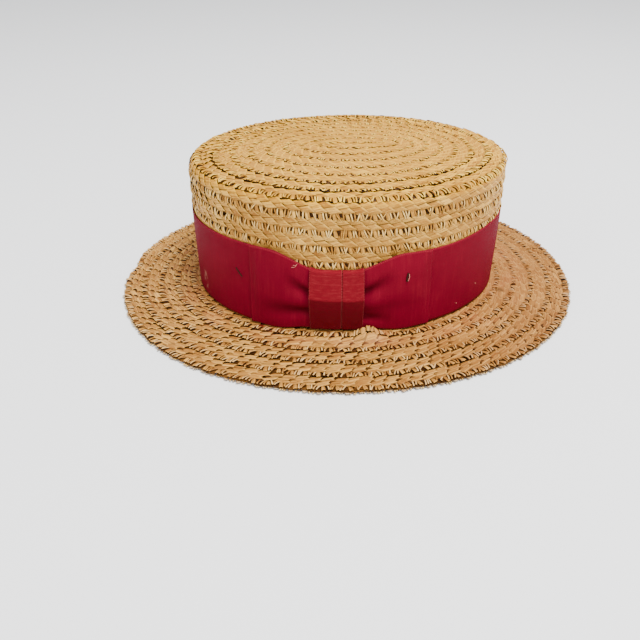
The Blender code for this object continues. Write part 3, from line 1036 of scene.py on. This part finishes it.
# One row for each crease: share of the height at the knot and at its end, share of the way out, depth, width
LEFT_CREASES = ((0.60, 0.70, 0.48, 2.2, 0.065), (0.28, 0.22, 1.05, 2.2, 0.070), (0.46, 0.50, 0.35, -0.6, 0.08))
RIGHT_CREASES = (
    (0.61, 0.74, 0.52, 2.2, 0.070), (0.19, 0.14, 0.55, 1.8, 0.060), (0.42, 0.48, 0.35, -0.6, 0.08),
    (0.30, 0.34, 1.10, 0.7, 0.070),
)


def smooth_path(path, count, window):
    """Many evenly spaced places along the path, with its corners rounded by a moving average."""
    path = np.array(path, dtype=float)
    steps = np.concatenate(([0.0], np.cumsum(np.linalg.norm(np.diff(path, axis=0), axis=1))))
    at = np.linspace(0.0, steps[-1], count)
    dense = np.stack([np.interp(at, steps, column) for column in path.T], axis=-1)
    padded = np.pad(dense, ((window, window), (0, 0)), mode="edge")
    kernel = np.ones(2 * window + 1) / (2 * window + 1)
    rounded = np.stack([np.convolve(column, kernel, mode="valid") for column in padded.T], axis=-1)
    rounded[0], rounded[-1] = dense[0], dense[-1]
    return rounded


def loop_place(side, reach, creases, seed):
    knot_edge = KNOT_WIDTH / 2
    reach = reach - knot_edge
    tuck = -LOOP_TUCK / reach
    path = [(tuck, LOOP_BENDS[0][1]), *LOOP_BENDS, (tuck, LOOP_BENDS[-1][1])]
    path = smooth_path([(out * reach, deep * LOOP_DEPTH) for out, deep in path], 400, 3)
    shares = np.linspace(0.0, 1.0, len(path))

    def place(along, up):
        out = np.interp(along, shares, path[:, 0]) / reach
        stand_off = LOOP_BACK + np.interp(along, shares, path[:, 1])
        front = ease((along - 0.52) / 0.05)
        round_out = ease(out / 0.15) * ease((1.0 - out) / 0.25)
        stand_off = stand_off + front * LOOP_BELLY * (1.0 - (2.0 * up - 1.0) ** 2) * (0.45 + 0.55 * round_out)
        shade = np.zeros_like(along)
        for at_knot, at_end, end, depth, width in creases:
            way = np.clip(out / end, 0.0, 1.0)
            line = at_knot + (at_end - at_knot) * way
            spread = width * (1.0 + 1.2 * way)
            fade = 1.0 - ease(out / end)
            stand_off = stand_off - front * depth * MM * np.exp(-(((up - line) / spread) ** 2)) * fade
            # painted shade along each crease, darkest on its upper flank
            dark = np.exp(-(((up - line - 0.3 * spread) / (0.85 * spread)) ** 2))
            shade = shade + front * max(depth, 0.0) * 0.42 * dark * fade
        distance = side * (knot_edge + reach * out - FOLD_LEAN * ease(out) * (up - 0.2))
        bottom, top = ribbon_edges(distance)
        height = bottom + (top - bottom) * up + LOOP_LIFT * front * ease(out / 0.2)
        waves = soft_waves(on_wall(distance, 0.0, height), 55.0, seed)
        stand_off = stand_off + front * 0.45 * MM * waves * ease(out / 0.2) * ease((1.0 - out) / 0.1)
        lowest = LOOP_BACK + front * CLOTH * 1.3
        return on_wall(distance, np.maximum(stand_off, lowest), height), np.clip(shade, 0.0, 1.0)

    length = np.linalg.norm(np.diff(path, axis=0), axis=1).sum()
    return place, length


left_place, left_length = loop_place(-1, LEFT_REACH, LEFT_CREASES, 5.0)
right_place, right_length = loop_place(1, RIGHT_REACH, RIGHT_CREASES, 8.0)
loop_left = ribbon_piece("loop_left", 150, 60, left_length, left_place, band_cloth)
loop_right = ribbon_piece("loop_right", 150, 60, right_length, right_place, band_cloth)
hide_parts("bow_loop_front")
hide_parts("bow_loop_back")

# %% [markdown]
# ## The knot
#
# Two turns of a narrower, folded ribbon go over the middle of the bow. They are creased halfway up, so the
# upper half faces the light and has faded, and the lower half is in shade, which is also painted into its
# colour. Their ribs lie level, because the ribbon goes up and down here.

# %% Turn the knot's ribbon round the bow
KNOT_SEAM = 0.60
SEAM_GAP = 0.3 * MM
KNOT_RIDGE = 4.2 * MM
KNOT_LIP = 0.6 * MM
KNOT_FRONT = LOOP_BACK + LOOP_DEPTH * LOOP_BENDS[-1][1] + 1.3 * MM

# One row for each bend: share of the height, share of the way out to the front, share of the ridge
KNOT_BENDS = (
    (0.00, 0.00, 0.00), (0.00, 0.85, 0.00), (0.015, 1.00, 0.04), (0.17, 1.00, 0.32), (0.40, 1.00, 0.78),
    (0.555, 1.00, 1.00), (0.585, 1.00, 0.99), (0.74, 1.00, 0.60), (0.89, 1.00, 0.24), (0.985, 1.00, 0.03),
    (1.00, 0.85, 0.00), (1.00, 0.00, 0.00),
)


def knot_place(start, end, seed):
    height_scale = RIBBON_WIDTH
    scaled = [(share * height_scale, out * (KNOT_FRONT - BAND_MIDDLE), ridge * KNOT_RIDGE)
              for share, out, ridge in KNOT_BENDS]
    path = smooth_path(scaled, 300, 2)
    shares = np.linspace(0.0, 1.0, len(path))

    def place(along, up):
        share = np.interp(along, shares, path[:, 0]) / height_scale
        stand_off = BAND_MIDDLE + np.interp(along, shares, path[:, 1]) + np.interp(along, shares, path[:, 2])
        distance = start + (end - start) * up
        bottom, top = ribbon_edges(distance)
        height = bottom - KNOT_LIP + (top - bottom + 2 * KNOT_LIP) * share
        waves = soft_waves(on_wall(distance, 0.0, height), 90.0, seed)
        roll = 0.35 * MM * (1 - (2 * np.abs(up - 0.5)) ** 6)
        # painted shade: the knot's lower half is coloured darker
        shade = 0.56 * (1.0 - ease((share - 0.560 + 0.006 * waves) / 0.02))
        return on_wall(distance, stand_off + roll + 0.2 * MM * waves, height), shade

    length = np.linalg.norm(np.diff(path, axis=0), axis=1).sum()
    return place, length


knot_left = -KNOT_WIDTH / 2
knot_seam = knot_left + KNOT_WIDTH * KNOT_SEAM
wide_place, knot_length = knot_place(knot_left, knot_seam - SEAM_GAP / 2, 12.0)
narrow_place, _ = knot_place(knot_seam + SEAM_GAP / 2, -knot_left, 15.0)
knot_wide = ribbon_piece("knot_wide", 150, 30, knot_length, wide_place, knot_cloth)
knot_narrow = ribbon_piece("knot_narrow", 150, 20, knot_length, narrow_place, knot_cloth)
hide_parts("bow_knot_wide")
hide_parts("bow_knot_narrow")
ribbon_pieces = [band, loop_left, loop_right, knot_wide, knot_narrow]

# %% [markdown]
# ## Small marks of age
#
# A dark splinter clings to the band, a pulled rib has left a slit in the right loop, drawn as a dark strip of
# painted shade, two threads have come loose at the left loop's top, and one straw stands up in a small loop at
# the tip's right edge. Each is a curve with a round bevel, turned into a mesh. A ray from the camera finds the
# cloth that it lies on.

# %% Lay threads and splinters on the cloth
def plain_material(name, colour, specular=0.05):
    material, _, shader = new_material(name)
    shader.inputs["Base Color"].default_value = (*colour, 1.0)
    shader.inputs["Roughness"].default_value = 0.7
    shader.inputs["Specular IOR Level"].default_value = specular
    return material


FRONT_OF_CLOTH = 0.6 * MM


def on_cloth(target, places):
    """The places moved along the camera's line of sight onto the target, and a little in front of it."""
    mesh = target.data
    tree = BVHTree.FromPolygons(
        [vert.co for vert in mesh.vertices], [face.vertices for face in mesh.polygons]
    )
    found = []
    for place in places:
        sight = (Vector(place) * MM - CAMERA_PLACE).normalized()
        hit, _, _, _ = tree.ray_cast(CAMERA_PLACE, sight)
        found.append((hit if hit else Vector(place) * MM) - sight * FRONT_OF_CLOTH)
    return found


def add_thread(name, points, thickness, material):
    data = bpy.data.curves.new(name, "CURVE")
    data.dimensions = "3D"
    data.bevel_depth = thickness / 2
    data.bevel_resolution = 1
    spline = data.splines.new("POLY")
    spline.points.add(len(points) - 1)
    for spline_point, point in zip(spline.points, points):
        spline_point.co = (*point, 1.0)
    curve = bpy.data.objects.new(name, data)
    mesh = bpy.data.meshes.new_from_object(curve)
    bpy.data.objects.remove(curve)
    mesh.materials.clear()
    mesh.materials.append(material)
    return add_object(name, mesh)


splinter_and_slit_shade = plain_material("splinter brown and slit shade", (0.030, 0.008, 0.005))
thread_pink = plain_material("bare thread", (0.560, 0.200, 0.150))
loose_straw = plain_material("loose straw", (0.480, 0.250, 0.050))
STRAY_STRAW = ((101.1, -6.3, 87.5), (103.6, -6.4, 86.2), (104.3, -8.0, 83.5), (102.2, -10.5, 80.5))

# One row for each mark: name, cloth, thickness, colour, and places along it, in millimetres
MARKS = (
    ("splinter", band, 0.9, splinter_and_slit_shade,
     ((-75.2, -55.6, 37.9), (-73.4, -57.2, 35.3), (-71.8, -58.3, 33.0))),
    # painted shade: the slit is a dark strip for the shade inside the torn rib
    ("slit", loop_right, 1.1, splinter_and_slit_shade,
     ((27.5, -79.0, 41.9), (26.8, -79.1, 39.0), (26.9, -79.1, 36.2))),
    ("slit_rim", loop_right, 0.5, thread_pink,
     ((27.9, -79.0, 41.4), (28.2, -79.0, 39.0), (27.6, -79.1, 36.6))),
    ("frayed_thread", loop_left, 0.22, thread_pink,
     ((-41.6, -74.9, 46.8), (-39.6, -75.6, 47.4), (-38.4, -76.0, 49.6))),
    ("frayed_thread_short", loop_left, 0.18, thread_pink,
     ((-40.8, -75.2, 48.4), (-38.9, -75.9, 48.6), (-37.6, -76.2, 50.4))),
    ("lint", band, 0.6, thread_pink, ((63.3, -64.4, 9.9), (63.8, -64.0, 9.5))),
    ("lint_upper", band, 0.6, thread_pink, ((78.1, -52.8, 17.3), (78.7, -52.4, 16.8))),
)
for title, cloth, thickness, colour, places in MARKS:
    mark = add_thread(title, on_cloth(cloth, places), thickness * MM, colour)
    ribbon_pieces.append(mark)
stray_points = [Vector(place) * MM for place in STRAY_STRAW]
straw_pieces.append(add_thread("stray_straw", stray_points, 0.7 * MM, loose_straw))

# %% [markdown]
# ## Floor and light
#
# The hat stands on a plain pale floor. A wide, soft lamp above and a little in front gives the straw small
# glints and leaves the knot's lower half in shade, and a bright world fills the rest.

# %% Make the floor and the lights
FLOOR_RADIUS = 6.0
floor_bm = bmesh.new()
bmesh.ops.create_circle(floor_bm, cap_ends=True, segments=64, radius=FLOOR_RADIUS)
floor_paint = plain_material("pale floor", (0.80, 0.80, 0.80), specular=0.5)
floor = add_object("floor", finish_mesh(floor_bm, "floor", floor_paint))

world = bpy.data.worlds.new("studio")
world.use_nodes = True
sky = world.node_tree.nodes["Background"].inputs
sky["Color"].default_value = (0.97, 0.98, 1.0, 1.0)
sky["Strength"].default_value = 1.25
bpy.context.scene.world = world


def add_lamp(name, place, target, size, power):
    data = bpy.data.lights.new(name, "AREA")
    data.shape = "DISK"
    data.size = size
    data.energy = power
    lamp = add_object(name, data)
    lamp.location = place
    lamp.rotation_euler = (Vector(target) - Vector(place)).to_track_quat("-Z", "Y").to_euler()
    return lamp


add_lamp("ceiling lamp", (0.35, -0.45, 1.60), (0.0, 0.0, 0.0), 0.8, 66.0)
add_lamp("window", (-1.6, -0.9, 1.10), (0.0, 0.0, 0.0), 0.5, 8.0)

# %% [markdown]
# ## Join everything to the hat
#
# Nothing moves on a hat, so every piece rides on its one body.

# %% Ride on the hat's body
for piece in straw_pieces + ribbon_pieces:
    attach(piece, "root")
